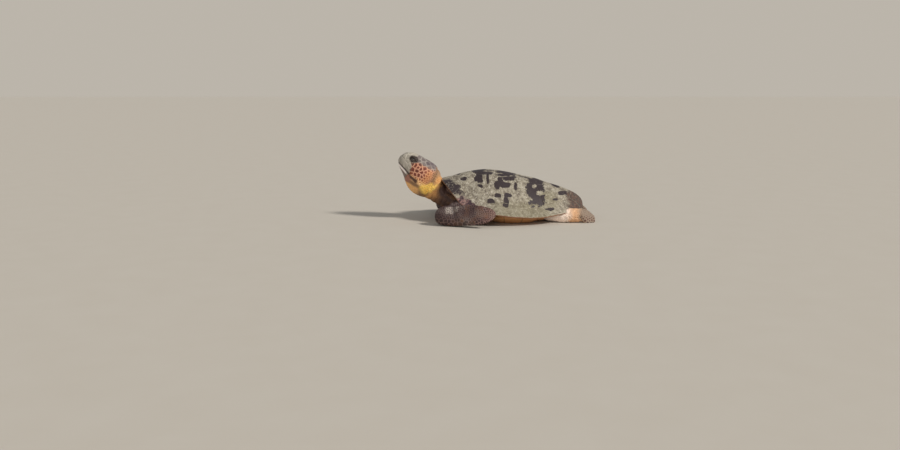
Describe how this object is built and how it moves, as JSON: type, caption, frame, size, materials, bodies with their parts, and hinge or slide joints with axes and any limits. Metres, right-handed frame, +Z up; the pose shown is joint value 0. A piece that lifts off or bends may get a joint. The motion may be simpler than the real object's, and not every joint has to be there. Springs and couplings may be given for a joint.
{
  "type": "loggerhead turtle model",
  "caption": "Life-size loggerhead sea turtle resting on its belly on land, head raised and flippers folded along the shell.",
  "frame": {"origin": "on the floor under the middle of the plastron, in the flat that the turtle rests on", "axes": "+X to the turtle's left, +Y towards its tail, +Z up"},
  "size_m": [0.822, 1.1642, 0.3991],
  "materials": {
    "scute": "horny scutes under a dry crust of algae and sand, dark and slightly glossy where the crust has come off",
    "plastron": "smooth yellow-brown horn, dull",
    "skin": "dry scaly skin, red-brown plates with pale seams turning yellow at the throat",
    "flipper": "dry purple-brown scale plates with pale pink seams",
    "beak": "worn horn, satin",
    "eye": "wet black eye, glossy"
  },
  "bodies": {
    "root": {"beak_lower": "beak", "beak_upper": "beak", "costal_left_1": "scute", "costal_left_2": "scute", "costal_left_3": "scute", "costal_left_4": "scute", "costal_left_5": "scute", "costal_right_1": "scute", "costal_right_2": "scute", "costal_right_3": "scute", "costal_right_4": "scute", "costal_right_5": "scute", "eye_left": "eye", "eye_right": "eye", "front_flipper_left": "flipper", "front_flipper_right": "flipper", "head": "skin", "hind_flipper_left": "flipper", "hind_flipper_right": "flipper", "lower_jaw": "skin", "marginal_left_01": "scute", "marginal_left_02": "scute", "marginal_left_03": "scute", "marginal_left_04": "scute", "marginal_left_05": "scute", "marginal_left_06": "scute", "marginal_left_07": "scute", "marginal_left_08": "scute", "marginal_left_09": "scute", "marginal_left_10": "scute", "marginal_left_11": "scute", "marginal_left_12": "scute", "marginal_right_01": "scute", "marginal_right_02": "scute", "marginal_right_03": "scute", "marginal_right_04": "scute", "marginal_right_05": "scute", "marginal_right_06": "scute", "marginal_right_07": "scute", "marginal_right_08": "scute", "marginal_right_09": "scute", "marginal_right_10": "scute", "marginal_right_11": "scute", "marginal_right_12": "scute", "neck": "skin", "nuchal": "scute", "plastron": "plastron", "tail": "skin", "thigh_left": "skin", "thigh_right": "skin", "trunk": "skin", "upper_arm_left": "flipper", "upper_arm_right": "flipper", "vertebral_1": "scute", "vertebral_2": "scute", "vertebral_3": "scute", "vertebral_4": "scute", "vertebral_5": "scute"}
  },
  "joints": []
}
